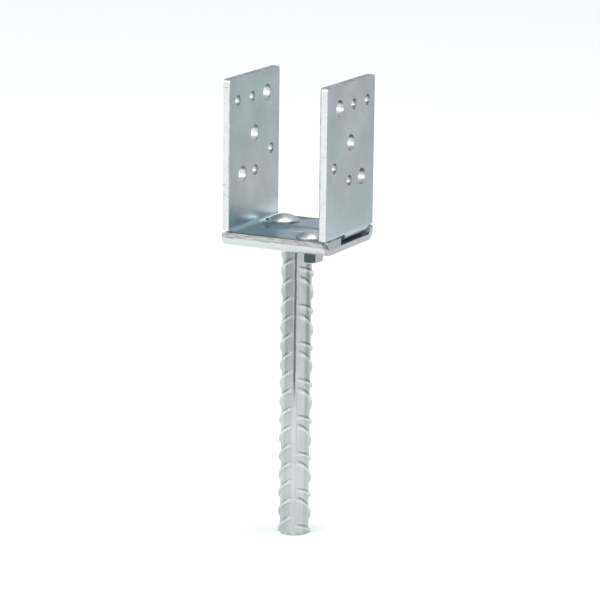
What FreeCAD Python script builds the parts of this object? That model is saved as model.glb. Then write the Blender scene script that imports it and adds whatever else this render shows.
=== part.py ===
import FreeCAD, Part
import math
import os
import re

import Sketcher

# Adjustable timber post base for casting into concrete.
# Two identical plate brackets stand on a folded tray. The foot of each bracket runs through
# a notch in the other one, and a carriage bolt in a slot clamps each foot to the tray.
# A ribbed bar is welded under the tray.
# Frame: millimetres, +Z up, origin on the bar's axis at the underside of the tray.
# X runs across the post gap, Y runs along the width of the plates.

SIZES = {
    # the post space and the two plates
    "post_gap": 65,
    "plate_thickness": 5,
    "plate_width": 70,
    "plate_rise": 106,
    "plate_corner": 2,
    "bend_inside": 3,
    # the foot of a bracket, seen from above
    "foot_inner_edge": 8.5,
    "foot_clearance": 0.5,
    "foot_corner": 4.5,
    "root_edge": 4,
    "root_depth": 10,
    "root_fillet": 4,
    "notch_clearance": 1.4,
    "notch_corner": 4,
    "slot_width": 8.6,
    "slide_travel": 6.2,
    "slot_margin": 2.7,
    # the holes of a plate, measured from the middle bolt hole
    "bolt_hole": 11,
    "screw_hole": 7,
    "middle_hole_height": 66,
    "bolt_hole_step": 17,
    "bolt_hole_rise": 24.8,
    "upper_screw_near": 4,
    "upper_screw_far": 24.2,
    "lower_screw_near": 1.2,
    "lower_screw_far": 23.5,
    "lower_screw_lift": 11.2,
    # the folded tray
    "tray_overhang": 1,
    "tray_thickness": 4,
    "tray_bend_inside": 3,
    "lip_height": 9.5,
    "lip_large_corner": 5.5,
    "lip_small_corner": 2,
    # the ribbed bar
    "bar_length": 198,
    "bar_core": 19.2,
    "bar_turn": 26.5,
    "rib_height": 1.4,
    "rib_width": 2.5,
    "rib_pitch": 12.58,
    "rib_first": 7.4,
    "rib_stagger": 1.3,
    "rib_slope": 46,
    "rib_slope_shallow": 30,
    "rib_slope_steep": 50,
    "spine_width": 1.8,
    "spine_height": 0.9,
    "weld_leg": 4.5,
    "weld_swell": 0.62,
    # carriage bolts and nuts, M8
    "fastener_setback": 17.2,
    "tray_hole": 9,
    "head_diameter": 20.65,
    "head_height": 4.7,
    "head_edge": 1,
    "neck_side": 8,
    "neck_depth": 4.4,
    "shank_diameter": 8,
    "shank_overhang": 1.3,
    "nut_flats": 13,
    "nut_height": 6.5,
    "nut_turn": 15.7,
}

# Places that follow from the sizes above.
DERIVED = {
    "plate_outer": "post_gap / 2 + plate_thickness",
    "foot_top": "tray_thickness + plate_thickness",
    "tray_half": "plate_width / 2 + tray_overhang",
    "foot_outer_edge": "plate_width / 2 + tray_overhang - tray_thickness - foot_clearance",
    "fastener_across": "plate_outer - fastener_setback",
    "fastener_along": "(foot_inner_edge + foot_outer_edge) / 2",
}

MATH_WORDS = {"sqrt", "tan", "cos", "sin"}
BEYOND = 10  # how far a cutting outline reaches past the metal
SLAB_SPAN = 4  # a rib slab's side in bar diameters
QUARTER_TURN = 90
HALF_TURN = 180
FULL_TURN = 360
NEAR = 0.01  # two coordinates closer than this are the same

doc = FreeCAD.newDocument("post_base")
sheet = doc.addObject("Spreadsheet::Sheet", "Sizes")
formulas = {word: f"={text}" for word, text in DERIVED.items()}
for row, (word, entry) in enumerate((SIZES | formulas).items(), start=1):
    sheet.set(f"A{row}", word)
    sheet.set(f"B{row}", str(entry))
    sheet.setAlias(f"B{row}", word)
doc.recompute()


def size(word):
    """The value that the sheet holds under a name."""
    return float(sheet.get(word))


def tied(text):
    """An expression that reads the named sizes from the sheet."""
    def prefixed(match):
        word = match.group()
        return word if word in MATH_WORDS else f"Sizes.{word}"
    return re.sub(r"[a-z][a-z_]+", prefixed, text)


def bind(thing, **properties):
    """Tie properties of an object to expressions in the named sizes."""
    for name, text in properties.items():
        thing.setExpression(name, tied(text))


# ---------------------------------------------------------------- sketches

def new_sketch(body, name, plane):
    """A sketch on one of the body's own origin planes."""
    sketch = body.newObject("Sketcher::SketchObject", name)
    origin_plane = next(item for item in body.Origin.OriginFeatures if item.Role == plane)
    sketch.AttachmentSupport = [(origin_plane, "")]
    sketch.MapMode = "FlatFace"
    return sketch


def pin(sketch, kind, geometry, point, text):
    """Hold a point at a distance from the sketch's origin."""
    drawn = sketch.getPoint(geometry, point)
    start = drawn.x if kind == "DistanceX" else drawn.y
    index = sketch.addConstraint(Sketcher.Constraint(kind, -1, 1, geometry, point, start))
    sketch.setExpression(f"Constraints[{index}]", tied(text))


def draw_outline(sketch, corners):
    """A closed outline with straight sides; each corner is a pair of expressions."""
    first = sketch.GeometryCount
    count = len(corners)
    ring = [FreeCAD.Vector(BEYOND * math.cos(2 * math.pi * step / count),
                           BEYOND * math.sin(2 * math.pi * step / count), 0)
            for step in range(count)]
    for step in range(count):
        sketch.addGeometry(Part.LineSegment(ring[step], ring[(step + 1) % count]), False)
    for step in range(count):
        follower = first + (step + 1) % count
        sketch.addConstraint(Sketcher.Constraint("Coincident", first + step, 2, follower, 1))
    for step, (across, up) in enumerate(corners):
        pin(sketch, "DistanceX", first + step, 1, across)
        pin(sketch, "DistanceY", first + step, 1, up)


def draw_circle(sketch, across, up, diameter):
    """A circle held by its centre and diameter."""
    index = sketch.addGeometry(Part.Circle(FreeCAD.Vector(1, 1, 0), FreeCAD.Vector(0, 0, 1), 1.0), False)
    pin(sketch, "DistanceX", index, 3, across)
    pin(sketch, "DistanceY", index, 3, up)
    rim = sketch.addConstraint(Sketcher.Constraint("Diameter", index, 2.0))
    sketch.setExpression(f"Constraints[{rim}]", tied(diameter))


def draw_corner_waste(sketch, side, across, up, radius):
    """What a rounded upper corner loses: a square corner outside a quarter circle."""
    middle = FreeCAD.Vector(0, 0, 0)
    upright = FreeCAD.Vector(0, 0, 1)
    quarter = (0, math.pi / 2) if side > 0 else (math.pi / 2, math.pi)
    arc = sketch.addGeometry(Part.ArcOfCircle(Part.Circle(middle, upright, 1.0), *quarter), False)
    low, high = (1, 2) if side > 0 else (2, 1)
    corner = FreeCAD.Vector(side, 1, 0)
    rise = sketch.addGeometry(Part.LineSegment(FreeCAD.Vector(side, 0, 0), corner), False)
    run = sketch.addGeometry(Part.LineSegment(corner, FreeCAD.Vector(0, 1, 0)), False)
    sketch.addConstraint(Sketcher.Constraint("Coincident", arc, low, rise, 1))
    sketch.addConstraint(Sketcher.Constraint("Coincident", rise, 2, run, 1))
    sketch.addConstraint(Sketcher.Constraint("Coincident", run, 2, arc, high))
    for geometry, point, x_text, y_text in ((rise, 1, across, f"{up} - {radius}"),
                                            (rise, 2, across, up),
                                            (run, 2, f"{across} - {side} * {radius}", up)):
        pin(sketch, "DistanceX", geometry, point, x_text)
        pin(sketch, "DistanceY", geometry, point, y_text)
    rim = sketch.addConstraint(Sketcher.Constraint("Radius", arc, 1.0))
    sketch.setExpression(f"Constraints[{rim}]", tied(radius))


# ---------------------------------------------------------------- body features

def pad_both_ways(body, sketch, name, length):
    """Extrude a sketch by equal amounts to both sides of its plane."""
    pad = body.newObject("PartDesign::Pad", name)
    pad.Profile = sketch
    pad.SideType = "Symmetric"
    bind(pad, Length=length)
    body.Tip = pad
    doc.recompute()
    return pad


def cut_both_ways(body, sketch, name, length):
    """Cut with a sketch, by equal amounts to both sides of its plane."""
    return cut(body, sketch, name, length, "Symmetric", False)


def cut_one_way(body, sketch, name, length, reverse):
    """Cut with a sketch to one side of its plane only."""
    return cut(body, sketch, name, length, "One side", reverse)


def cut(body, sketch, name, length, sides, reverse):
    """Cut with a sketch and make sure that it removes metal."""
    volume = body.Shape.Volume
    pocket = body.newObject("PartDesign::Pocket", name)
    pocket.Profile = sketch
    pocket.SideType = sides
    pocket.Reversed = reverse
    bind(pocket, Length=length)
    body.Tip = pocket
    doc.recompute()
    if body.Shape.Volume >= volume:
        raise RuntimeError(f"{name} cuts nothing")
    return pocket


def edges_where(body, **place):
    """Names of the body's straight edges that lie at the given coordinates."""
    found = []
    for index, edge in enumerate(body.Shape.Edges, start=1):
        ends = [vertex.Point for vertex in edge.Vertexes]
        if len(ends) == 2 and isinstance(edge.Curve, Part.Line):
            if all(abs(getattr(end, axis) - value) < NEAR
                   for end in ends for axis, value in place.items()):
                found.append(f"Edge{index}")
    return found


def round_edges(body, name, radius, names):
    """Round the named edges with one radius."""
    if not names:
        raise RuntimeError(f"{name} finds no edge")
    rounded = body.Tip
    fillet = body.newObject("PartDesign::Fillet", name)
    fillet.Base = (rounded, names)
    bind(fillet, Radius=radius)
    body.Tip = fillet
    doc.recompute()
    return fillet


# ---------------------------------------------------------------- folded tray

def make_tray():
    """A folded channel with upturned lips at the front and back."""
    body = doc.addObject("PartDesign::Body", "base_tray")
    half = "tray_half"
    inner = "(tray_half - tray_thickness)"
    section = new_sketch(body, "tray_section", "YZ_Plane")
    draw_outline(section, [
        (f"-{half}", "lip_height"),
        (f"-{half}", "0"),
        (half, "0"),
        (half, "lip_height"),
        (inner, "lip_height"),
        (inner, "tray_thickness"),
        (f"-{inner}", "tray_thickness"),
        (f"-{inner}", "lip_height"),
    ])
    pad_both_ways(body, section, "tray_sheet", "2 * plate_outer")

    outside = size("tray_half")
    inside = outside - size("tray_thickness")
    floor = size("tray_thickness")
    names = edges_where(body, y=-inside, z=floor) + edges_where(body, y=inside, z=floor)
    round_edges(body, "tray_inner_bends", "tray_bend_inside", names)
    names = edges_where(body, y=-outside, z=0) + edges_where(body, y=outside, z=0)
    round_edges(body, "tray_outer_bends", "tray_bend_inside + tray_thickness", names)

    holes = new_sketch(body, "tray_hole_centres", "XY_Plane")
    draw_circle(holes, "fastener_across", "-fastener_along", "tray_hole")
    draw_circle(holes, "-fastener_across", "fastener_along", "tray_hole")
    cut_both_ways(body, holes, "tray_holes", "4 * tray_thickness")

    # Each lip is sheared with a large corner at one end and a small one at the other.
    for lip, front in (("front", True), ("back", False)):
        for name, radius, end in (("large", "lip_large_corner", 1 if front else -1),
                                  ("small", "lip_small_corner", -1 if front else 1)):
            waste = new_sketch(body, f"{lip}_lip_{name}_outline", "XZ_Plane")
            draw_corner_waste(waste, end, f"{end} * plate_outer", "lip_height", radius)
            cut_one_way(body, waste, f"{lip}_lip_{name}_corner", "2 * tray_half", front)
    return body


# ---------------------------------------------------------------- brackets

def make_bracket(label, turn):
    """An upright plate with a slotted foot that is bent inwards over the front half of the tray.

    It is drawn as the left bracket; the right one is the same piece turned half round.
    """
    body = doc.addObject("PartDesign::Body", label)
    outer = "plate_outer"
    inner = "(post_gap / 2)"
    seat = "tray_thickness"
    top = "(tray_thickness + plate_rise)"
    notch_top = "(foot_top + notch_clearance)"
    beyond_side = f"(plate_width / 2 + {BEYOND})"

    angle = new_sketch(body, f"{label}_section", "XZ_Plane")
    draw_outline(angle, [
        (f"-{outer}", top),
        (f"-{outer}", seat),
        (outer, seat),
        (outer, "foot_top"),
        (f"-{inner}", "foot_top"),
        (f"-{inner}", top),
    ])
    pad_both_ways(body, angle, f"{label}_plate", "plate_width")

    half_gap = size("post_gap") / 2
    plate = size("plate_thickness")
    floor = size("tray_thickness")
    names = edges_where(body, x=-half_gap, z=floor + plate)
    round_edges(body, f"{label}_inner_bend", "bend_inside", names)
    names = edges_where(body, x=-half_gap - plate, z=floor)
    round_edges(body, f"{label}_outer_bend", "bend_inside + plate_thickness", names)

    # The foot's plan: wide at its root, narrower towards its end.
    root_end = f"(-{outer} + root_depth)"
    plan = new_sketch(body, f"{label}_foot_plan", "XY_Plane")
    draw_outline(plan, [
        (root_end, "root_edge"),
        (root_end, "-foot_inner_edge"),
        (f"{outer} + {BEYOND}", "-foot_inner_edge"),
        (f"{outer} + {BEYOND}", beyond_side),
        (f"-{outer} - {BEYOND}", beyond_side),
        (f"-{outer} - {BEYOND}", "root_edge"),
    ])
    cut_both_ways(body, plan, f"{label}_notch", f"2 * {notch_top}")
    plan = new_sketch(body, f"{label}_foot_side", "XY_Plane")
    draw_outline(plan, [
        (f"-{outer} - {BEYOND}", "-foot_outer_edge"),
        (f"-{outer} - {BEYOND}", f"-{beyond_side}"),
        (f"{outer} + {BEYOND}", f"-{beyond_side}"),
        (f"{outer} + {BEYOND}", "-foot_outer_edge"),
    ])
    cut_both_ways(body, plan, f"{label}_shoulder", f"2 * {notch_top}")

    # The slot that the bolt's square neck slides in.
    slot = new_sketch(body, f"{label}_slot_outline", "XY_Plane")
    near_end = "(fastener_across - slot_margin)"
    far_end = "(fastener_across + slide_travel + slot_margin)"
    draw_outline(slot, [
        (near_end, "-fastener_along - slot_width / 2"),
        (far_end, "-fastener_along - slot_width / 2"),
        (far_end, "-fastener_along + slot_width / 2"),
        (near_end, "-fastener_along + slot_width / 2"),
    ])
    slot_depth = "2 * foot_top + bend_inside"
    cut_both_ways(body, slot, f"{label}_slot", slot_depth)
    for side, centre in (("near", near_end), ("far", far_end)):
        end = new_sketch(body, f"{label}_slot_{side}_end", "XY_Plane")
        draw_circle(end, centre, "-fastener_along", "slot_width")
        cut_both_ways(body, end, f"{label}_slot_{side}", slot_depth)

    make_plate_holes(body, label)
    round_bracket(body, label)
    body.Placement = FreeCAD.Placement(FreeCAD.Vector(0, 0, 0),
                                       FreeCAD.Rotation(FreeCAD.Vector(0, 0, 1), turn))
    return body


def make_plate_holes(body, label):
    """Three bolt holes on a diagonal and four screw holes, through the upright plate."""
    middle = "(tray_thickness + middle_hole_height)"
    holes = new_sketch(body, f"{label}_hole_centres", "YZ_Plane")
    for step in (-1, 0, 1):
        draw_circle(holes, f"({step}) * bolt_hole_step", f"{middle} + ({step}) * bolt_hole_rise",
                    "bolt_hole")
    for across, up in (("-upper_screw_near", "bolt_hole_rise"),
                       ("-upper_screw_far", "bolt_hole_rise"),
                       ("lower_screw_near", "-bolt_hole_rise"),
                       ("lower_screw_far", "-bolt_hole_rise + lower_screw_lift")):
        draw_circle(holes, across, f"{middle} + {up}", "screw_hole")
    cut_both_ways(body, holes, f"{label}_holes", "2 * (post_gap + plate_thickness)")


def round_bracket(body, label):
    """Round the plate's upper corners, the notch, and the corners and side of the foot."""
    outer = size("plate_outer")
    floor = size("tray_thickness")
    top = floor + size("plate_rise")
    half_width = size("plate_width") / 2
    notch_top = size("foot_top") + size("notch_clearance")
    root = size("root_edge")
    foot_inner = size("foot_inner_edge")
    foot_outer = size("foot_outer_edge")

    names = edges_where(body, y=half_width, z=top) + edges_where(body, y=-half_width, z=top)
    round_edges(body, f"{label}_upper_corners", "plate_corner", names)
    names = edges_where(body, y=root, z=notch_top)
    round_edges(body, f"{label}_notch_corner", "notch_corner", names)
    names = edges_where(body, x=outer, y=-foot_inner)
    round_edges(body, f"{label}_foot_corner", "foot_corner", names)
    names = edges_where(body, x=size("root_depth") - outer, y=-foot_inner)
    round_edges(body, f"{label}_root_fillet", "root_fillet", names)
    names = edges_where(body, y=-foot_outer, z=floor)
    round_edges(body, f"{label}_foot_underside", "tray_bend_inside", names)


# ---------------------------------------------------------------- ribbed bar

def make_slab(name, level, slope):
    """A flat slab across the bar that rises towards the front by the given slope."""
    reach = SLAB_SPAN * size("bar_core")
    thickness = size("rib_width")
    slab = doc.addObject("Part::Box", name)
    bind(slab, Length=f"{SLAB_SPAN} * bar_core", Width=f"{SLAB_SPAN} * bar_core", Height="rib_width")
    lean = FreeCAD.Rotation(FreeCAD.Vector(1, 0, 0), -slope)
    middle = lean.multVec(FreeCAD.Vector(reach / 2, reach / 2, thickness / 2))
    slab.Placement = FreeCAD.Placement(FreeCAD.Vector(0, 0, level) - middle, lean)
    return slab


def make_rib_row(name, side, slopes, offset):
    """Crescent ribs on one side of the bar: slabs cut to a half round that stands off the core."""
    count = int((size("bar_length") - size("rib_first") - offset) / size("rib_pitch")) + 1
    slabs = [make_slab(f"{name}_slab_{step}", -size("rib_first") - offset - step * size("rib_pitch"),
                       slopes[step % len(slopes)]) for step in range(count)]
    group = doc.addObject("Part::Compound", f"{name}_slabs")
    group.Links = slabs
    crescent = doc.addObject("Part::Cylinder", f"{name}_crescent")
    crescent.Angle = HALF_TURN
    bind(crescent, Radius="bar_core / 2", Height="bar_length - weld_leg - rib_height")
    crescent.Placement = FreeCAD.Placement(
        FreeCAD.Vector(side * size("rib_height"), 0, -size("bar_length")),
        FreeCAD.Rotation(FreeCAD.Vector(0, 0, 1), -side * QUARTER_TURN))
    row = doc.addObject("Part::Common", name)
    row.Base = crescent
    row.Tool = group
    return row


def make_spine(name, side):
    """A longitudinal rib along the front or back of the bar."""
    spine = doc.addObject("Part::Box", name)
    bind(spine, Length="spine_width", Width="bar_core / 2 + spine_height",
         Height="bar_length - weld_leg - rib_height")
    back = 0 if side > 0 else -(size("bar_core") / 2 + size("spine_height"))
    spine.Placement.Base = FreeCAD.Vector(-size("spine_width") / 2, back, -size("bar_length"))
    return spine


def make_bar():
    """The anchor bar: a round core, two spines and two rows of slanted crescent ribs."""
    core = doc.addObject("Part::Cylinder", "bar_round")
    bind(core, Radius="bar_core / 2", Height="bar_length")
    core.Placement.Base = FreeCAD.Vector(0, 0, -size("bar_length"))
    alternating = (size("rib_slope_steep"), size("rib_slope_shallow"))
    pieces = [core,
              make_spine("front_spine", -1),
              make_spine("back_spine", 1),
              make_rib_row("left_ribs", -1, (size("rib_slope"),), 0),
              make_rib_row("right_ribs", 1, alternating, size("rib_stagger"))]
    bar = doc.addObject("Part::MultiFuse", "ribbed_bar")
    bar.Shapes = pieces
    doc.recompute()
    bar.Placement = FreeCAD.Placement(FreeCAD.Vector(0, 0, 0),
                                      FreeCAD.Rotation(FreeCAD.Vector(0, 0, 1), size("bar_turn")))
    return bar


def make_weld():
    """The fillet weld round the top of the bar, against the underside of the tray."""
    body = doc.addObject("PartDesign::Body", "weld_bead")
    section = new_sketch(body, "weld_section", "XZ_Plane")
    draw_outline(section, [
        ("bar_core / 2", "0"),
        ("bar_core / 2", "-weld_leg"),
        ("bar_core / 2 + weld_leg * weld_swell", "-weld_leg * weld_swell"),
        ("bar_core / 2 + weld_leg", "0"),
    ])
    bead = body.newObject("PartDesign::Revolution", "weld_ring")
    bead.Profile = section
    bead.ReferenceAxis = (section, ["V_Axis"])
    bead.Angle = FULL_TURN
    doc.recompute()
    return body


# ---------------------------------------------------------------- fasteners

def make_bolt(label, side):
    """A carriage bolt: domed head on the foot, square neck in the slot, shank through the tray."""
    seat = size("foot_top")
    centre = FreeCAD.Vector(side * size("fastener_across"), -side * size("fastener_along"), 0)

    rim = doc.addObject("Part::Cylinder", f"{label}_rim")
    bind(rim, Radius="head_diameter / 2", Height="head_height")
    rim.Placement.Base = centre + FreeCAD.Vector(0, 0, seat)
    ball = doc.addObject("Part::Sphere", f"{label}_ball")
    cap = "(head_height - head_edge)"
    bind(ball, Radius=f"((head_diameter / 2) * (head_diameter / 2) + {cap} * {cap}) / (2 * {cap})")
    doc.recompute()
    crown = seat + size("head_height")
    ball.Placement = FreeCAD.Placement(centre + FreeCAD.Vector(0, 0, crown - ball.Radius.Value),
                                       FreeCAD.Rotation(FreeCAD.Vector(1, 0, 0), QUARTER_TURN))
    head = doc.addObject("Part::Common", f"{label}_head")
    head.Base = rim
    head.Tool = ball
    head.Refine = False

    neck = doc.addObject("Part::Box", f"{label}_neck")
    bind(neck, Length="neck_side", Width="neck_side", Height="neck_depth")
    half_neck = size("neck_side") / 2
    neck.Placement.Base = centre + FreeCAD.Vector(-half_neck, -half_neck, seat - size("neck_depth"))
    shank = doc.addObject("Part::Cylinder", f"{label}_shank")
    bind(shank, Radius="shank_diameter / 2",
         Height="foot_top + nut_height + shank_overhang")
    low_end = -size("nut_height") - size("shank_overhang")
    shank.Placement.Base = centre + FreeCAD.Vector(0, 0, low_end)

    bolt = doc.addObject("Part::MultiFuse", label)
    bolt.Shapes = [head, neck, shank]
    bolt.Refine = False
    doc.recompute()
    return bolt


def make_nut(label, side):
    """A hexagon nut with chamfered corners, tight against the underside of the tray."""
    low = -size("nut_height")
    centre = FreeCAD.Vector(side * size("fastener_across"), -side * size("fastener_along"), 0)
    spin = FreeCAD.Rotation(FreeCAD.Vector(0, 0, 1), size("nut_turn"))
    flip = FreeCAD.Rotation(FreeCAD.Vector(1, 0, 0), HALF_TURN)

    hexagon = doc.addObject("Part::Prism", f"{label}_hexagon")
    hexagon.Polygon = 6
    bind(hexagon, Circumradius="nut_flats / sqrt(3)", Height="nut_height")
    hexagon.Placement = FreeCAD.Placement(centre + FreeCAD.Vector(0, 0, low), spin)
    bevels = []
    for name, base, turn in ((f"{label}_lower_bevel", low, FreeCAD.Rotation()),
                             (f"{label}_upper_bevel", 0, flip)):
        bevel = doc.addObject("Part::Cone", name)
        bind(bevel, Radius1="nut_flats / 2", Radius2="nut_flats / 2 + nut_height * sqrt(3)",
             Height="nut_height")
        bevel.Placement = FreeCAD.Placement(centre + FreeCAD.Vector(0, 0, base), turn)
        bevels.append(bevel)
    solid = doc.addObject("Part::MultiCommon", f"{label}_bevelled")
    solid.Shapes = [hexagon] + bevels
    bore = doc.addObject("Part::Cylinder", f"{label}_bore")
    bind(bore, Radius="shank_diameter / 2", Height="nut_height")
    bore.Placement.Base = centre + FreeCAD.Vector(0, 0, low)
    nut = doc.addObject("Part::Cut", label)
    nut.Base = solid
    nut.Tool = bore
    doc.recompute()
    return nut


# ---------------------------------------------------------------- the whole part

parts = [
    make_tray(),
    make_bracket("left_bracket", 0),
    make_bracket("right_bracket", HALF_TURN),
    make_bar(),
    make_weld(),
    make_bolt("front_bolt", 1),
    make_bolt("back_bolt", -1),
    make_nut("front_nut", 1),
    make_nut("back_nut", -1),
]
doc.recompute()

for item in doc.Objects:
    if "Invalid" in item.State or "Error" in item.State:
        raise RuntimeError(f"{item.Label} failed to build: {item.State}")
for part in parts:
    if part.Shape.isNull() or not part.Shape.isValid() or len(part.Shape.Solids) != 1:
        raise RuntimeError(f"{part.Label} is not one valid solid")

os.makedirs("parts", exist_ok=True)
for part in parts:
    part.Shape.exportStep(f"parts/{part.Label}.step")
    box = part.Shape.BoundBox
    print(f"{part.Label}: volume {part.Shape.Volume:.0f}, "
          f"X {box.XMin:.2f}..{box.XMax:.2f}, Y {box.YMin:.2f}..{box.YMax:.2f}, "
          f"Z {box.ZMin:.2f}..{box.ZMax:.2f}")
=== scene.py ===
import math

import bmesh
import bpy
from mathutils import Matrix, Vector

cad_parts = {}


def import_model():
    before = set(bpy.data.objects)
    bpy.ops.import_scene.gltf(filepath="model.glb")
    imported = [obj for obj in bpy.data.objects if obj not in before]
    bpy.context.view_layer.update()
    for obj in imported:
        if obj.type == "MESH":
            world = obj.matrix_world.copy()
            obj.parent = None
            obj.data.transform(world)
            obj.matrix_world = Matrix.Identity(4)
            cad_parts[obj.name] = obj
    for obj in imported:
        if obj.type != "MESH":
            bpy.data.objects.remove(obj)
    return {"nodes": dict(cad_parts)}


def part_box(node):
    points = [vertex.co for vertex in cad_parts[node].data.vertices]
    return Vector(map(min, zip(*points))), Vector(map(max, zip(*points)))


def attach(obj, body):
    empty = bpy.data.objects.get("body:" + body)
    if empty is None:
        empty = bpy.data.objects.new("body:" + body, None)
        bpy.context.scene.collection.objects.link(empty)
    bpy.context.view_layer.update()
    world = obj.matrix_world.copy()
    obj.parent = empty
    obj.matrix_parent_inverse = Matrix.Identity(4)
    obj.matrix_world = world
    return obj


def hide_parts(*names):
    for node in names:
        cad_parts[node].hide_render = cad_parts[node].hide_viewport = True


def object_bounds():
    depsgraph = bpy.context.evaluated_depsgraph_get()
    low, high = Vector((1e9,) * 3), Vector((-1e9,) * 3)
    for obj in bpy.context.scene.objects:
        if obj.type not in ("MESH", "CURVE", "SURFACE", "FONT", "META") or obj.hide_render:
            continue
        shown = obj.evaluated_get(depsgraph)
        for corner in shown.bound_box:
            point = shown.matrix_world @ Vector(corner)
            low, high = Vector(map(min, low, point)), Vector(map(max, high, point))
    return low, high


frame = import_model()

# Adjustable timber post base: two punched plates on a folded tray, over a ribbed anchor bar.
# Everything is in metres, in the frame of the CAD model: +Z up, the origin on the bar's axis
# at the underside of the tray, X across the post gap, Y along the plates, the front at -Y.

cad_low, cad_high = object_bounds()

MM = 0.001
NODES = frame["nodes"]
QUARTER_TURN = math.radians(90)
FULL_TURN = 2 * math.pi

# the bar's core, how far its ribs and spines are turned about its axis, and a spine's width
BAR_CORE = 19.2 * MM
BAR_TURN = math.radians(26.5)
SPINE_WIDTH = 1.8 * MM
# rounding of the cut sheet metal and of the nuts
CUT_ROUNDING = 0.45 * MM
NUT_ROUNDING = 0.25 * MM


# ---------------------------------------------------------------- meshes

MERGE_DISTANCE = 0.002 * MM
FLAT_ANGLE = math.radians(0.5)
SHARP_ANGLE = math.radians(35)
ROUNDING_STEPS = 3
LARGE_FACE_WEIGHT = 100


def finished(bm, name, body, materials):
    """Turn a bmesh into a piece that rides on a body and takes a finish."""
    mesh = bpy.data.meshes.new(name)
    bm.to_mesh(mesh)
    bm.free()
    piece = bpy.data.objects.new(name, mesh)
    bpy.context.scene.collection.objects.link(piece)
    for material in materials:
        mesh.materials.append(material)
    mesh.shade_smooth()
    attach(piece, body)
    return piece


def weight_normals(piece):
    """Let large flat faces keep flat normals beside their rounded edges."""
    modifier = piece.modifiers.new("flat_faces", "WEIGHTED_NORMAL")
    modifier.weight = LARGE_FACE_WEIGHT


def is_sharp(edge, angle):
    """True where two faces meet at more than the given angle."""
    return len(edge.link_faces) == 2 and edge.calc_face_angle(0) > angle


def round_edges(bm, edges, radius):
    """Round edges off to a radius."""
    bmesh.ops.bevel(bm, geom=edges, offset=radius, offset_type="OFFSET", segments=ROUNDING_STEPS,
                    profile=0.5, affect="EDGES", clamp_overlap=True, material=-1)


def rounded_copy(node, radius):
    """A merged copy of a node's mesh with its sharp edges rounded."""
    bm = bmesh.new()
    bm.from_mesh(NODES[node].data)
    bmesh.ops.remove_doubles(bm, verts=bm.verts, dist=MERGE_DISTANCE)
    bmesh.ops.dissolve_limit(bm, angle_limit=FLAT_ANGLE, verts=bm.verts, edges=bm.edges)
    round_edges(bm, [edge for edge in bm.edges if is_sharp(edge, SHARP_ANGLE)], radius)
    return bm


# ---------------------------------------------------------------- steps of a finish

# sockets of a Mix node that mixes colours
MIX_FIRST = 6
MIX_SECOND = 7
MIX_RESULT = 2
# the range that nearly all values of a noise pattern lie in
NOISE_SPREAD = (0.3, 0.7)
NOISE_MIDDLE = 0.5


def mm(*lengths):
    """Lengths given in millimetres."""
    return tuple(length * MM for length in lengths)


def add(tree, kind, feeds, **settings):
    """Add a node; each feed is a socket to link from or a value to set."""
    made = tree.nodes.new(kind)
    for word, value in settings.items():
        setattr(made, word, value)
    for socket, source in feeds.items():
        if isinstance(source, bpy.types.NodeSocket):
            tree.links.new(source, made.inputs[socket])
        else:
            made.inputs[socket].default_value = source
    return made


def math_step(tree, operation, first, second=0.0):
    """A number worked out from two others."""
    return add(tree, "ShaderNodeMath", {0: first, 1: second}, operation=operation).outputs[0]


def product(tree, first, *others):
    """Numbers or masks multiplied together."""
    for other in others:
        first = math_step(tree, "MULTIPLY", first, other)
    return first


def total(tree, first, *others):
    """Numbers added together."""
    for other in others:
        first = math_step(tree, "ADD", first, other)
    return first


def away(tree, value):
    """How far a number is from zero."""
    return math_step(tree, "ABSOLUTE", value)


def span(tree, value, source, target=(0.0, 1.0)):
    """A value taken smoothly from one range to another and held at its ends."""
    return add(tree, "ShaderNodeMapRange",
               {"Value": value, "From Min": source[0], "From Max": source[1],
                "To Min": target[0], "To Max": target[1]},
               interpolation_type="SMOOTHSTEP").outputs["Result"]


def past(tree, value, edge):
    """A mask of what lies past an edge; it comes in between the edge's two places."""
    return span(tree, value, edge)


def before(tree, value, edge):
    """A mask of what lies before an edge; it goes out between the edge's two places."""
    return span(tree, value, edge, (1.0, 0.0))


def moved(tree, vector, shift=(0, 0, 0), turn=(0, 0, 0), scale=(1, 1, 1)):
    """Coordinates shifted, turned and stretched before a pattern reads them."""
    return add(tree, "ShaderNodeMapping",
               {"Vector": vector, "Location": shift, "Rotation": turn, "Scale": scale}).outputs[0]


def coordinates(tree, vector):
    """The three coordinates of a vector."""
    return add(tree, "ShaderNodeSeparateXYZ", {"Vector": vector}).outputs


def noise(tree, vector, patches, detail=2.0, roughness=0.5):
    """Smooth random patches with the given number of patches per metre."""
    made = add(tree, "ShaderNodeTexNoise",
               {"Vector": vector, "Scale": patches, "Detail": detail, "Roughness": roughness})
    return made.outputs["Fac"]


def swaying(tree, waves, width):
    """Noise as an offset to both sides of zero, over the given width."""
    return product(tree, math_step(tree, "SUBTRACT", waves, NOISE_MIDDLE), width)


def blend_colours(tree, share, first, second, how="MIX"):
    """Two colours mixed by a share."""
    return add(tree, "ShaderNodeMix", {"Factor": share, MIX_FIRST: first, MIX_SECOND: second},
               data_type="RGBA", blend_type=how).outputs[MIX_RESULT]


def tinted(tree, colour, tint):
    """A colour multiplied by another one."""
    return blend_colours(tree, 1.0, colour, tint, "MULTIPLY")


def shaded(tree, colour, shade):
    """A colour made lighter or darker by a number."""
    made = add(tree, "ShaderNodeVectorMath", {"Vector": colour, "Scale": shade}, operation="SCALE")
    return made.outputs["Vector"]


# ---------------------------------------------------------------- effects that finishes share

VECTOR = "NodeSocketVector"
NUMBER = "NodeSocketFloat"
COLOUR = "NodeSocketColor"
WHITE = (1, 1, 1, 1)

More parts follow.
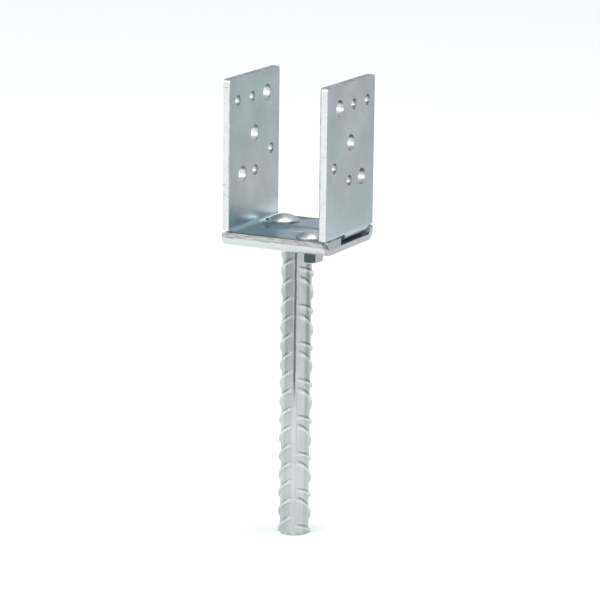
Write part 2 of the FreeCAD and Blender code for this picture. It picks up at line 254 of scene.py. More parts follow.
CLOUDS_PER_METRE = 34.0
CLOUD_SHADES = (0.82, 1.08)
TINTS_PER_METRE = 19.0
TINT_SHIFT = (0.3, 0.1, 0.2)
TINT_EDGE = (0.38, 0.62)
TEAL_TINT = (0.93, 1.01, 1.01, 1)
VIOLET_TINT = (1.02, 0.975, 1.025, 1)

FINE_GRAIN_SHARE = 0.6
COARSE_GRAIN_SHARE = 0.4
COARSE_GRAIN_COUNT = 0.22
SPECK_EDGE = (0.35, 0.65)

SCRATCH_STRETCH = (22, 22, 900)
SCRATCH_TURNS = ((0.5, 0.2, 0.3), (-0.7, 0.4, 1.1))
SCRATCH_EDGE = (0.0, 0.012)
SCRATCH_PATCHES_PER_METRE = 60.0
SCRATCH_PATCH_EDGE = (0.56, 0.66)


def new_group(name, inputs, outputs):
    """An empty node group with named sockets; returns the tree, its inputs and its outputs."""
    tree = bpy.data.node_groups.new(name, "ShaderNodeTree")
    for word, kind in inputs:
        tree.interface.new_socket(word, in_out="INPUT", socket_type=kind)
    for word, kind in outputs:
        tree.interface.new_socket(word, in_out="OUTPUT", socket_type=kind)
    return tree, tree.nodes.new("NodeGroupInput").outputs, tree.nodes.new("NodeGroupOutput").inputs


def make_clouds_group():
    """Soft clouds over the zinc: lighter and darker, teal in places and violet in others."""
    tree, given, result = new_group("plating_clouds", (("Vector", VECTOR), ("Strength", NUMBER)),
                                    (("Tint", COLOUR), ("Haze", NUMBER)))
    clouds = noise(tree, given["Vector"], CLOUDS_PER_METRE, detail=3.0, roughness=0.55)
    tints = noise(tree, moved(tree, given["Vector"], shift=TINT_SHIFT), TINTS_PER_METRE)
    tint = blend_colours(tree, span(tree, tints, TINT_EDGE), TEAL_TINT, VIOLET_TINT)
    shade = span(tree, clouds, NOISE_SPREAD, CLOUD_SHADES)
    grey = add(tree, "ShaderNodeCombineColor", {"Red": shade, "Green": shade, "Blue": shade}).outputs[0]
    cloudy = tinted(tree, tint, grey)
    tree.links.new(blend_colours(tree, given["Strength"], WHITE, cloudy), result["Tint"])
    tree.links.new(span(tree, clouds, NOISE_SPREAD, (-1.0, 1.0)), result["Haze"])
    return tree


def make_grain_group():
    """The fine grain of the zinc, with a few coarser specks."""
    tree, given, result = new_group("zinc_grain", (("Vector", VECTOR), ("Grains per metre", NUMBER)),
                                    (("Height", NUMBER), ("Speck", NUMBER)))
    fine = noise(tree, given["Vector"], given["Grains per metre"], detail=3.0, roughness=0.65)
    coarse_grains = product(tree, given["Grains per metre"], COARSE_GRAIN_COUNT)
    coarse = noise(tree, given["Vector"], coarse_grains)
    height = total(tree, product(tree, fine, FINE_GRAIN_SHARE), product(tree, coarse, COARSE_GRAIN_SHARE))
    tree.links.new(height, result["Height"])
    tree.links.new(span(tree, coarse, SPECK_EDGE), result["Speck"])
    return tree


def make_streak_group():
    """Streaks of a given length and width along the first axis of the coordinates."""
    tree, given, result = new_group("streaks", (("Vector", VECTOR), ("Length", NUMBER), ("Width", NUMBER)),
                                    (("Streak", NUMBER),))
    along, across, through = coordinates(tree, given["Vector"])
    drawn = add(tree, "ShaderNodeCombineXYZ",
                {"X": math_step(tree, "DIVIDE", along, given["Length"]),
                 "Y": math_step(tree, "DIVIDE", across, given["Width"]),
                 "Z": math_step(tree, "DIVIDE", through, given["Width"])}).outputs[0]
    tree.links.new(noise(tree, drawn, 1.0, detail=4.0, roughness=0.6), result["Streak"])
    return tree


def make_scratch_group():
    """Fine scratches in two directions, here and there in patches."""
    tree, given, result = new_group("scratches", (("Vector", VECTOR),), (("Scratch", NUMBER),))
    patches = noise(tree, given["Vector"], SCRATCH_PATCHES_PER_METRE, detail=1.0)
    patch = past(tree, patches, SCRATCH_PATCH_EDGE)
    lines = []
    for turn in SCRATCH_TURNS:
        drawn = moved(tree, given["Vector"], turn=turn, scale=SCRATCH_STRETCH)
        ridge = away(tree, math_step(tree, "SUBTRACT", noise(tree, drawn, 1.0, detail=1.0), NOISE_MIDDLE))
        lines.append(product(tree, before(tree, ridge, SCRATCH_EDGE), patch))
    tree.links.new(math_step(tree, "MAXIMUM", *lines), result["Scratch"])
    return tree


clouds_group = make_clouds_group()
grain_group = make_grain_group()
streak_group = make_streak_group()
scratch_group = make_scratch_group()


def use_group(tree, group, feeds):
    """Place a shared effect in a material and hand back its outputs."""
    return add(tree, "ShaderNodeGroup", feeds, node_tree=group).outputs


def clouds_over(tree, vector, strength):
    """The tint and the haze of soft clouds."""
    clouds = use_group(tree, clouds_group, {"Vector": vector, "Strength": strength})
    return clouds["Tint"], clouds["Haze"]


def grain_over(tree, vector, grains_per_metre):
    """The height and the specks of the zinc's grain."""
    grain = use_group(tree, grain_group, {"Vector": vector, "Grains per metre": grains_per_metre})
    return grain["Height"], grain["Speck"]


def streaks_over(tree, vector, size):
    """Streaks along the first axis, their size given as a length and a width."""
    length, width = size
    return use_group(tree, streak_group, {"Vector": vector, "Length": length, "Width": width})["Streak"]


def scratches_over(tree, vector):
    """Scratches where there are any."""
    return use_group(tree, scratch_group, {"Vector": vector})["Scratch"]


# ---------------------------------------------------------------- finishes

def start_metal(name):
    """A metal material with its node tree, shader and object coordinates."""
    material = bpy.data.materials.new(name)
    material.use_nodes = True
    tree = material.node_tree
    shader = tree.nodes["Principled BSDF"]
    shader.inputs["Metallic"].default_value = 1
    place = tree.nodes.new("ShaderNodeTexCoord").outputs["Object"]
    return material, tree, shader, place


def finish_metal(tree, shader, colour, roughness, height, depth):
    """Join colour, roughness and relief to the shader."""
    tree.links.new(colour, shader.inputs["Base Color"])
    tree.links.new(roughness, shader.inputs["Roughness"])
    relief = add(tree, "ShaderNodeBump", {"Height": height, "Distance": depth, "Strength": 1.0})
    tree.links.new(relief.outputs["Normal"], shader.inputs["Normal"])


# Sheet metal. A pair of places is where a finish begins and ends: heights above the underside of
# the tray, or distances from the middle plane between the plates or between front and back.
SHEET_ZINC = (0.382, 0.426, 0.434, 1)
SHEET_CLOUDS = 0.85
SHEET_GRAINS = 2400.0
SHEET_ROLLING = mm(30, 0.7)
SHEET_ROLLING_SHADES = (0.975, 1.025)
SHEET_GRAIN_SHADES = (-0.03, 0.03)
SHEET_SCRATCH_SHADE = 0.16
SHEET_ROUGHNESS = 0.32
SHEET_HAZE_ROUGHNESS = 0.035
SHEET_RELIEF = 0.02 * MM
ROLLING_RELIEF = 0.35
GRAIN_RELIEF = 0.45
SCRATCH_RELIEF = -0.25

# the lips' streaky outer faces
LIP_STREAKS = mm(7, 0.9)
LIP_STREAK_EDGE = (0.36, 0.64)
LIP_DARK = (0.26, 0.25, 0.24, 1)
LIP_LIGHT = (0.49, 0.495, 0.495, 1)
LIP_WAVES_PER_METRE = 120.0
LIP_WAVE_HEIGHT = 2 * MM
LIP_OUTSIDE = mm(34.5, 35.2)
LIP_STREAKS_START = mm(6.4, 7.6)
LIP_STREAKS_END = mm(10.0, 10.4)
LIP_ROUGHNESS = 0.12
LIP_RELIEF = 4.5

# painted reflection on the feet and the tray, and painted light in the corner above the inner bends
FEET_REFLECTION_LEFT = (1.22, 1.38, 1.45, 1)
FEET_REFLECTION_RIGHT = (1.20, 1.15, 1.22, 1)
FEET_REFLECTION_TURNS = mm(-24, 16)
FEET_REFLECTION_TOP = mm(9.5, 12.5)
FEET_REFLECTION_SIDE = mm(30.0, 33.0)
CORNER_PAINTED_LIGHT = (1.30, 1.42, 1.46, 1)
CORNER_FACE = mm(32.6, 33.0)
CORNER_START = mm(9.2, 12.0)
CORNER_TOP = mm(12.0, 24.0)

# places with painted light, and the darker foot ends
# painted light that lifts the shade in the groove between the feet
GROOVE_PAINTED_LIGHT = (0.64, 0.70, 0.73, 1)
GROOVE_SIDE = mm(8.8, 9.4)
GROOVE_TOP = mm(8.2, 8.9)
GROOVE_END = mm(27.0, 30.0)
# a painted highlight, near white, along the notch's edge
NOTCH_PAINTED_HIGHLIGHT = (0.93, 0.955, 0.96, 1)
NOTCH_FACE = mm(31.0, 32.2)
NOTCH_SIDE = mm(-8.5, -8.0)
NOTCH_FOOT = mm(8.6, 8.9)
NOTCH_TOP = mm(10.4, 10.6)
# painted light on the lips' inside faces
LIP_INSIDE_PAINTED_LIGHT = (0.74, 0.82, 0.84, 1)
LIP_INSIDE_START = mm(30.5, 31.8)
LIP_INSIDE_END = mm(32.2, 32.6)
LIP_INSIDE_TOP = mm(9.2, 9.6)
# a painted reflection of the bright floor on the tray's outer bends
BEND_PAINTED_REFLECTION = (0.56, 0.585, 0.585, 1)
BEND_SIDE = mm(30.0, 33.0)
BEND_TOP = mm(6.0, 7.2)
FOOT_END_ZINC = (0.33, 0.375, 0.38, 1)
FOOT_END_FACE = mm(37.0, 37.4)
FOOT_END_TOP = mm(9.0, 9.8)


def lip_streak_mask(tree, place, off_y, z):
    """The upper part of the lips' outer faces, above a wavy line."""
    wave = product(tree, noise(tree, place, LIP_WAVES_PER_METRE), LIP_WAVE_HEIGHT)
    return product(tree, past(tree, off_y, LIP_OUTSIDE),
                   past(tree, total(tree, z, wave), LIP_STREAKS_START),
                   before(tree, z, LIP_STREAKS_END))


def with_painted_reflection_and_light(tree, base, x, z, off_x, off_y):
    """Zinc with a painted reflection on the feet, bluer towards the left and violet towards the right, and
    painted light in the inner corners.
    """
    feet_reflection = blend_colours(tree, past(tree, x, FEET_REFLECTION_TURNS), FEET_REFLECTION_LEFT, FEET_REFLECTION_RIGHT)
    feet = product(tree, before(tree, z, FEET_REFLECTION_TOP), before(tree, off_y, FEET_REFLECTION_SIDE))
    base = blend_colours(tree, feet, base, tinted(tree, base, feet_reflection))
    # painted light in the corner above the inner bends
    corner = product(tree, before(tree, off_x, CORNER_FACE), before(tree, z, CORNER_TOP),
                     past(tree, z, CORNER_START))
    return blend_colours(tree, corner, base, tinted(tree, base, CORNER_PAINTED_LIGHT))


def painted_light_and_foot_end_places(tree, x, y, z, off_x, off_y):
    """Masks of the places on the sheet metal with painted light, and of the darker foot ends, and their
    colours.
    """
    groove = product(tree, before(tree, off_y, GROOVE_SIDE), before(tree, z, GROOVE_TOP),
                     before(tree, off_x, GROOVE_END))
    # a plate's notch is at the front on the right and at the back on the left
    notch_side = before(tree, product(tree, math_step(tree, "SIGN", x), y), NOTCH_SIDE)
    notch = product(tree, past(tree, off_x, NOTCH_FACE), notch_side,
                    past(tree, z, NOTCH_FOOT), before(tree, z, NOTCH_TOP))
    lip_inside = product(tree, past(tree, off_y, LIP_INSIDE_START), before(tree, off_y, LIP_INSIDE_END),
                         before(tree, z, LIP_INSIDE_TOP))
    bend = product(tree, past(tree, off_y, BEND_SIDE), before(tree, z, BEND_TOP))
    foot_end = product(tree, past(tree, off_x, FOOT_END_FACE), before(tree, z, FOOT_END_TOP))
    return ((groove, GROOVE_PAINTED_LIGHT), (notch, NOTCH_PAINTED_HIGHLIGHT), (lip_inside, LIP_INSIDE_PAINTED_LIGHT),
            (bend, BEND_PAINTED_REFLECTION), (foot_end, FOOT_END_ZINC))


def make_plate_zinc():
    """Zinc on the sheet metal: faint clouds, rolling marks, scratches, streaky lips, and painted light and
    reflections in places.
    """
    material, tree, shader, place = start_metal("plate_zinc")
    x, y, z = coordinates(tree, place)
    off_x = away(tree, x)
    off_y = away(tree, y)
    tint, haze = clouds_over(tree, place, SHEET_CLOUDS)
    grain = grain_over(tree, place, SHEET_GRAINS)[0]
    rolled = streaks_over(tree, moved(tree, place, turn=(0, QUARTER_TURN, 0)), SHEET_ROLLING)
    scratch = scratches_over(tree, place)
    lip_streaks = streaks_over(tree, place, LIP_STREAKS)
    lip = lip_streak_mask(tree, place, off_y, z)

    # painted reflection on the feet, and painted light in the inner corners
    base = with_painted_reflection_and_light(tree, tinted(tree, SHEET_ZINC, tint), x, z, off_x, off_y)
    # painted light on the groove, the notches, the lips' insides and the bends, and the darker foot ends
    for mask, colour in painted_light_and_foot_end_places(tree, x, y, z, off_x, off_y):
        base = blend_colours(tree, mask, base, colour)
    streaky = blend_colours(tree, span(tree, lip_streaks, LIP_STREAK_EDGE), LIP_DARK, LIP_LIGHT)
    base = blend_colours(tree, lip, base, streaky)

    shade = total(tree, span(tree, rolled, NOISE_SPREAD, SHEET_ROLLING_SHADES),
                  span(tree, grain, NOISE_SPREAD, SHEET_GRAIN_SHADES),
                  product(tree, scratch, SHEET_SCRATCH_SHADE))
    rough = total(tree, product(tree, haze, SHEET_HAZE_ROUGHNESS), SHEET_ROUGHNESS,
                  product(tree, lip, LIP_ROUGHNESS))
    height = total(tree, product(tree, rolled, ROLLING_RELIEF), product(tree, grain, GRAIN_RELIEF),
                   product(tree, scratch, SCRATCH_RELIEF), product(tree, lip_streaks, lip, LIP_RELIEF))
    finish_metal(tree, shader, shaded(tree, base, shade), rough, height, SHEET_RELIEF)
    return material


# Cut edges and holes. Facing is 1 where a wall looks straight up and -1 where it looks down.
CUT_STREAKS = mm(5, 0.9)
CUT_STREAK_SHADES = (0.93, 1.07)
CUT_WAVES_PER_METRE = 190.0
CUT_GRAINS = 1700.0
TEAR_ZINC = (0.30, 0.275, 0.24, 1)
TEAR_STREAK_SHARE = 0.6
TEAR_WAVE_SHARE = 0.4
TEAR_EDGE = (0.54, 0.64)
TEAR_STRENGTH = 0.55
# painted shade on walls that face down
DOWNWARD_PAINTED_SHADE = (0.18, 0.23, 0.27, 1)
DOWN_FACING = (-0.60, -0.22)
STAIN_ZINC = (0.27, 0.24, 0.20, 1)
STAIN_FACING = (0.5, 0.9)
STAIN_EDGE = (0.42, 0.55)
STAIN_STRENGTH = 0.6
BURR_ZINC = (0.22, 0.235, 0.24, 1)
BURR_SWAY = 1.6 * MM
BURR_EDGE = mm(32.8, 33.3)
BURR_STRENGTH = 0.8
CUT_ROUGHNESS = (0.30, 0.44)
CUT_STREAK_RELIEF = 0.8
CUT_GRAIN_RELIEF = 0.25
CUT_RELIEF = 0.05 * MM


def make_cut_zinc(name, base, turn):
    """Zinc on a cut edge: streaks through the sheet, brown tears, and painted shade on walls that face
    down, as on the upper walls of holes.
    """
    material, tree, shader, place = start_metal(name)
    torn = streaks_over(tree, moved(tree, place, turn=turn), CUT_STREAKS)
    waves = noise(tree, place, CUT_WAVES_PER_METRE, detail=3.0)
    grain = grain_over(tree, place, CUT_GRAINS)[0]
    facing = coordinates(tree, tree.nodes.new("ShaderNodeTexCoord").outputs["Normal"])[2]
    off_x = away(tree, coordinates(tree, place)[0])

    tear = past(tree, total(tree, product(tree, torn, TEAR_STREAK_SHARE),
                            product(tree, waves, TEAR_WAVE_SHARE)), TEAR_EDGE)
    stain = product(tree, past(tree, facing, STAIN_FACING), past(tree, waves, STAIN_EDGE))
    # a wavy dark line along the plates' inner faces
    burr = before(tree, total(tree, off_x, swaying(tree, waves, BURR_SWAY)), BURR_EDGE)
    colour = shaded(tree, base, span(tree, torn, NOISE_SPREAD, CUT_STREAK_SHADES))
    # painted shade on walls that face down, such as the upper walls of holes
    for mask, mark in ((product(tree, tear, TEAR_STRENGTH), TEAR_ZINC),
                       (before(tree, facing, DOWN_FACING), DOWNWARD_PAINTED_SHADE),
                       (product(tree, stain, STAIN_STRENGTH), STAIN_ZINC),
                       (product(tree, burr, BURR_STRENGTH), BURR_ZINC)):
        colour = blend_colours(tree, mask, colour, mark)

    rough = span(tree, torn, NOISE_SPREAD, CUT_ROUGHNESS)
    height = total(tree, product(tree, torn, CUT_STREAK_RELIEF), product(tree, grain, CUT_GRAIN_RELIEF))
    finish_metal(tree, shader, colour, rough, height, CUT_RELIEF)
    return material


# The anchor bar. Its coordinates are turned so that the spines are at the front and back.
BAR_ZINC = (0.60, 0.625, 0.620, 1)
BAR_CLOUDS = 0.4
BAR_GRAINS = 1500.0
BAR_ROLLING = mm(20, 1.2)
BAR_SHADES = (0.95, 1.05)
BAR_ROUGHNESS = (0.42, 0.52)
BAR_ROLLING_RELIEF = 0.5
BAR_RELIEF = 0.06 * MM
# a seam beside the front spine, darkened by painted reflection
SEAM_AND_REFLECTION_ZINC = (0.085, 0.092, 0.110, 1)
SEAM_AND_REFLECTION_STRENGTH = 0.86
SEAM_OFF_SPINE = 0.1 * MM
SEAM_EDGE = mm(0.4, 1.2)
SEAM_SWAY = 0.6 * MM
SEAM_WAVES_PER_METRE = 260.0
SEAM_FRONT = mm(-6, -3)
SEAM_FADES = mm(-114, -88)
# painted shade: the bar grows darker towards the top, under the tray
BAR_PAINTED_SHADE_HEIGHTS = mm(-130, -20)
BAR_PAINTED_SHADE_TONES = (0.86, 0.78)
# painted dark reflection stripes beside the spines, deeper towards the top
REFLECTION_STRIPE_START = mm(-8.4, -6.8)
REFLECTION_STRIPE_END = mm(-2.8, -1.6)
NARROW_REFLECTION_STRIPE_START = mm(5.0, 7.0)
NARROW_REFLECTION_STRIPE_END = mm(7.8, 9.0)
REFLECTION_STRIPE_HEIGHTS = mm(-150, -30)
REFLECTION_STRIPE_DEPTHS = (0.14, 0.44)
UNSTRIPED_TONE = 1.06
# painted light on the ribs' lower flanks
RIB_LIGHT_TONE = 0.26
SHADE_DEPTH = 0.62
SHADE_PATCHES_PER_METRE = 110.0
SHADE_PATCH_EDGE = (0.35, 0.6)
SHADE_PATCHES = (0.35, 1.0)


def read_attribute(tree, name):
    """A number kept on the mesh."""
    return add(tree, "ShaderNodeAttribute", {}, attribute_name=name).outputs["Fac"]


def seam_and_reflection_mask(tree, place, x, y, z):
    """A line against the left flank of the front spine that fades out half way down: a seam with a painted
    dark reflection along it.
    """
    sway = swaying(tree, noise(tree, place, SEAM_WAVES_PER_METRE, detail=3.0), SEAM_SWAY)
    off_seam = away(tree, total(tree, x, sway, SPINE_WIDTH / 2 + SEAM_OFF_SPINE))
    return product(tree, before(tree, off_seam, SEAM_EDGE), before(tree, y, SEAM_FRONT),
                   past(tree, z, SEAM_FADES))


def painted_reflection_stripes(tree, x, y, z):
    """How much darker the painted reflection stripes are: a wide one left of a spine, a narrow one far to
    its right.
    """
    # the back is the front turned half round
    side = product(tree, math_step(tree, "SIGN", y), -1.0)
    off_spine = product(tree, x, side)
    wide = product(tree, past(tree, off_spine, REFLECTION_STRIPE_START), before(tree, off_spine, REFLECTION_STRIPE_END))
    narrow = product(tree, past(tree, off_spine, NARROW_REFLECTION_STRIPE_START),
                     before(tree, off_spine, NARROW_REFLECTION_STRIPE_END))
    return product(tree, math_step(tree, "MAXIMUM", wide, narrow), span(tree, z, REFLECTION_STRIPE_HEIGHTS, REFLECTION_STRIPE_DEPTHS))


def make_bar_zinc():
    """Matt zinc on the ribbed bar, with painted shade towards the top under the tray, painted dark
    reflection stripes, painted light on the ribs, and a seam beside the front spine darkened by painted
    reflection.
    """
    material, tree, shader, place = start_metal("bar_zinc")
    x, y, z = coordinates(tree, moved(tree, place, turn=(0, 0, -BAR_TURN)))
    tint = clouds_over(tree, place, BAR_CLOUDS)[0]
    grain, speck = grain_over(tree, place, BAR_GRAINS)
    rolled = streaks_over(tree, moved(tree, place, turn=(0, QUARTER_TURN, 0)), BAR_ROLLING)

    # a seam beside the front spine, with painted dark reflection
    seam_and_reflection = product(tree, seam_and_reflection_mask(tree, place, x, y, z), SEAM_AND_REFLECTION_STRENGTH)
    colour = blend_colours(tree, seam_and_reflection, tinted(tree, BAR_ZINC, tint), SEAM_AND_REFLECTION_ZINC)

    # painted shade towards the top, and painted dark reflection stripes
    tone = product(tree, span(tree, z, BAR_PAINTED_SHADE_HEIGHTS, BAR_PAINTED_SHADE_TONES),
                   math_step(tree, "SUBTRACT", UNSTRIPED_TONE, painted_reflection_stripes(tree, x, y, z)))
    # painted light on the ribs' lower flanks
    tone = total(tree, tone, product(tree, read_attribute(tree, "rib_painted_light"), RIB_LIGHT_TONE))
    patches = span(tree, noise(tree, place, SHADE_PATCHES_PER_METRE), SHADE_PATCH_EDGE, SHADE_PATCHES)
    rib_shade = product(tree, read_attribute(tree, "rib_shade"), patches, SHADE_DEPTH)
    shade = product(tree, tone, math_step(tree, "SUBTRACT", 1.0, rib_shade),
                    span(tree, rolled, NOISE_SPREAD, BAR_SHADES),
                    span(tree, grain, NOISE_SPREAD, BAR_SHADES))
    rough = span(tree, speck, (0.0, 1.0), BAR_ROUGHNESS)
    height = total(tree, grain, product(tree, rolled, BAR_ROLLING_RELIEF))
    finish_metal(tree, shader, shaded(tree, colour, shade), rough, height, BAR_RELIEF)
    return material


# Weld, bolts and nuts
SMALL_CLOUDS = (2, 2, 2)
PLAIN_SHADES = (0.94, 1.06)
PLAIN_SCRATCH_SHADE = 0.15


def make_plain_zinc(name, base, clouds, roughness, grains, depth):
    """Zinc with clouds, grain and scratches, for the weld, the bolts and the nuts."""
    material, tree, shader, place = start_metal(name)
    tint, haze = clouds_over(tree, moved(tree, place, scale=SMALL_CLOUDS), clouds)
    grain = grain_over(tree, place, grains)[0]
    scratch = scratches_over(tree, place)
    shade = total(tree, span(tree, grain, NOISE_SPREAD, PLAIN_SHADES),
                  product(tree, scratch, PLAIN_SCRATCH_SHADE))
    colour = shaded(tree, tinted(tree, (*base, 1), tint), shade)
    finish_metal(tree, shader, colour, span(tree, haze, (-1.0, 1.0), roughness), grain, depth)
    return material


plate_zinc = make_plate_zinc()
cut_zinc = make_cut_zinc("cut_zinc", base=(0.60, 0.62, 0.63), turn=(0, 0, 0))
lip_zinc = make_cut_zinc("lip_zinc", base=(0.46, 0.475, 0.48), turn=(0, 0, QUARTER_TURN))
bar_zinc = make_bar_zinc()
weld_zinc = make_plain_zinc("weld_zinc", base=(0.52, 0.545, 0.55), clouds=0.6,
                            roughness=(0.34, 0.5), grains=900.0, depth=0.08 * MM)
fastener_zinc = make_plain_zinc("fastener_zinc", base=(0.63, 0.675, 0.68), clouds=0.4,
                                roughness=(0.28, 0.38), grains=1600.0, depth=0.01 * MM)
nut_zinc = make_plain_zinc("nut_zinc", base=(0.40, 0.43, 0.435), clouds=0.6,
                           roughness=(0.3, 0.4), grains=1400.0, depth=0.02 * MM)
# a painted dark reflection for the flat of each nut that faces out
painted_dark_reflection_zinc = make_plain_zinc("painted_dark_reflection_zinc", base=(0.075, 0.085, 0.085), clouds=0.6,
                            roughness=(0.3, 0.4), grains=1200.0, depth=0.02 * MM)

NODE_FINISHES = {"base_tray": plate_zinc, "left_bracket": plate_zinc, "right_bracket": plate_zinc,
                 "ribbed_bar": bar_zinc, "weld_bead": weld_zinc, "front_bolt": fastener_zinc,
                 "back_bolt": fastener_zinc, "front_nut": nut_zinc, "back_nut": nut_zinc}
for node, material in NODE_FINISHES.items():
    for slot in NODES[node].material_slots:
        slot.material = material


# ---------------------------------------------------------------- folded sheet metal

PLATE_HALF_WIDTH = (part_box("left_bracket")[1].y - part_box("left_bracket")[0].y) / 2
PLATE_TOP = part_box("left_bracket")[1].z
LIP_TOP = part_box("base_tray")[1].z
# how squarely a face looks along an axis
ROUGHLY_ALONG = 0.5
NEARLY_ALONG = 0.8
TOP_EDGE_DEPTH = 3 * MM
LOWEST_HOLE = 25 * MM
SIDE_EDGE_DEPTH = 2 * MM
LIP_EDGE_DEPTH = 0.2 * MM


def make_sheet_piece(node, name, body, is_cut, edge_finish):
    """A sheet metal piece with rounded edges and a finish of its own where it was cut."""
    bm = rounded_copy(node, CUT_ROUNDING)
    for face in bm.faces:
        face.material_index = 1 if is_cut(face) else 0
    piece = finished(bm, name, body, [plate_zinc, edge_finish])
    weight_normals(piece)
    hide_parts(node)
    return piece


def plate_is_cut(face):
    """The front, back and top edges of an upright plate, and the walls of its holes."""
    middle = face.calc_center_median()
    if abs(face.normal.x) > ROUGHLY_ALONG:
        return False
    on_side = abs(face.normal.y) > NEARLY_ALONG and abs(middle.y) > PLATE_HALF_WIDTH - CUT_ROUNDING
    on_top = middle.z > PLATE_TOP - TOP_EDGE_DEPTH
    in_hole = middle.z > LOWEST_HOLE and abs(middle.y) < PLATE_HALF_WIDTH - SIDE_EDGE_DEPTH
    return on_side or on_top or in_hole


def tray_is_cut(face):
    """The lips' upper edges and the sheet's two ends."""
    return abs(face.normal.x) > NEARLY_ALONG or face.calc_center_median().z > LIP_TOP - LIP_EDGE_DEPTH


make_sheet_piece("left_bracket", "left_plate", "left_plate", plate_is_cut, cut_zinc)
make_sheet_piece("right_bracket", "right_plate", "right_plate", plate_is_cut, cut_zinc)
make_sheet_piece("base_tray", "folded_tray", "base", tray_is_cut, lip_zinc)


# ---------------------------------------------------------------- anchor bar

BAR_AROUND = 144
BAR_STEP = 0.45 * MM
RIB_HEIGHT = 1.4 * MM
RIB_WIDTH = 2.5 * MM
RIB_CROWN = RIB_WIDTH / 2 - 0.3 * MM
RIB_FLANK = 0.55 * MM
RIB_PITCH = 12.58 * MM
RIB_FIRST = 7.4 * MM
RIB_STAGGER = 1.3 * MM
LEFT_SLOPES = (math.radians(46),)
RIGHT_SLOPES = (math.radians(50), math.radians(30))
# the lower this is, the more of its height a rib keeps towards the spines
CRESCENT_POWER = 0.8
SPINE_HEIGHT = 0.9 * MM
SPINE_CROWN = SPINE_WIDTH / 2 - 0.15 * MM
SPINE_FLANK = 0.35 * MM
# the shade above a rib: its size, and where it lies as shares of the way out to the bar's side
SHADE_CROWN = 0.22 * MM
SHADE_FLANK = 0.4 * MM
SHADE_START = 0.1
SHADE_START_FADE = 0.2
SHADE_END = 1.0
SHORT_SHADE_END = 0.75
SHADE_END_FADE = 0.15
SHORT_SHADE_BELOW = -105 * MM
# the painted light on a rib, a little below its middle
RIB_LIGHT_DROP = 0.3 * MM
RIB_LIGHT_CROWN = 0.5 * MM
RIB_LIGHT_FLANK = 0.5 * MM
RIB_LIGHT_GROWTH = 2


def held(share):
    """A share kept between 0 and 1."""
    return min(max(share, 0), 1)


def bump(offset, half_width, flank):
    """A rib's profile: 1 on its crown, falling smoothly to 0 over its flanks."""
    reach = held((half_width + flank - abs(offset)) / (2 * flank))
    return reach * reach * (3 - 2 * reach)


def rib_shape(x, y, z):
    """How far ribs and spines lift the skin at a place on the core, and the painted shade and painted light
    there.

    The painted shade lies in the corner above each rib, and the painted light along its crown, a little
    below its middle.
    """
    side_share = abs(x) / (BAR_CORE / 2)
    slopes, first = (LEFT_SLOPES, RIB_FIRST) if x < 0 else (RIGHT_SLOPES, RIB_FIRST + RIB_STAGGER)
    nearest = round((-z - first) / RIB_PITCH)
    rib = 0
    shade = 0
    rib_light = 0
    for step in range(max(nearest - 1, 0), nearest + 2):
        slope = slopes[step % len(slopes)]
        level = -first - step * RIB_PITCH
        across = (z - level + y * math.tan(slope)) * math.cos(slope)
        rib = max(rib, bump(across, RIB_CROWN, RIB_FLANK))
        shade = max(shade, bump(across - RIB_WIDTH / 2, SHADE_CROWN, SHADE_FLANK))
        rib_light = max(rib_light, bump(across + RIB_LIGHT_DROP, RIB_LIGHT_CROWN, RIB_LIGHT_FLANK))
    crescent = RIB_HEIGHT * min(1, side_share ** CRESCENT_POWER)
    spine = SPINE_HEIGHT * bump(x, SPINE_CROWN, SPINE_FLANK)
    shade_end = SHADE_END if z > SHORT_SHADE_BELOW else SHORT_SHADE_END
    shade_share = held((side_share - SHADE_START) / SHADE_START_FADE)
    shade_share *= held((shade_end - side_share) / SHADE_END_FADE)
    return max(rib * crescent, spine), shade * shade_share, rib_light * min(1, side_share * RIB_LIGHT_GROWTH)


def make_bar():
    """The anchor bar, its skin lifted into slanted crescent ribs and two spines."""
    low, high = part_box("ribbed_bar")
    rows = round((high.z - low.z) / BAR_STEP)
    bm = bmesh.new()
    bmesh.ops.create_circle(bm, cap_ends=False, segments=BAR_AROUND, radius=BAR_CORE / 2,
                            matrix=Matrix.Translation((0, 0, low.z)))
    ring = list(bm.edges)
    for _ in range(rows):
        made = bmesh.ops.extrude_edge_only(bm, edges=ring)["geom"]
        ring = [item for item in made if isinstance(item, bmesh.types.BMEdge)
                and all(vert in made for vert in item.verts)]
        bmesh.ops.translate(bm, verts=[item for item in made if isinstance(item, bmesh.types.BMVert)],
                            vec=(0, 0, (high.z - low.z) / rows))
    shade_marks = bm.verts.layers.float.new("rib_shade")
    light_marks = bm.verts.layers.float.new("rib_painted_light")
    for vert in bm.verts:
        x, y, z = vert.co
        lift, vert[shade_marks], vert[light_marks] = rib_shape(x, y, z)
        growth = 1 + lift / (BAR_CORE / 2)
        vert.co = Vector((x * growth, y * growth, z))
    bmesh.ops.holes_fill(bm, edges=[edge for edge in bm.edges if edge.is_boundary], sides=0)
    bmesh.ops.recalc_face_normals(bm, faces=bm.faces)
    bmesh.ops.rotate(bm, verts=bm.verts, cent=(0, 0, 0), matrix=Matrix.Rotation(BAR_TURN, 3, "Z"))
    bar = finished(bm, "anchor_bar", "base", [bar_zinc])
    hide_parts("ribbed_bar")


make_bar()


# ---------------------------------------------------------------- weld

AROUND_STEPS = 96
DEGENERATE_LENGTH = 0.001 * MM
# directions in an outline, in degrees
UP = 90
OUT = 0
DOWN = -90

WELD_LEG = 4.5 * MM
WELD_SCALE = 0.97
WELD_FACE_STEPS = 14
WELD_RIPPLES = 44
RIPPLE_HEIGHT = 0.22 * MM
RIPPLE_LEAN = 0.6
RIPPLE_FADE = 0.5 * MM


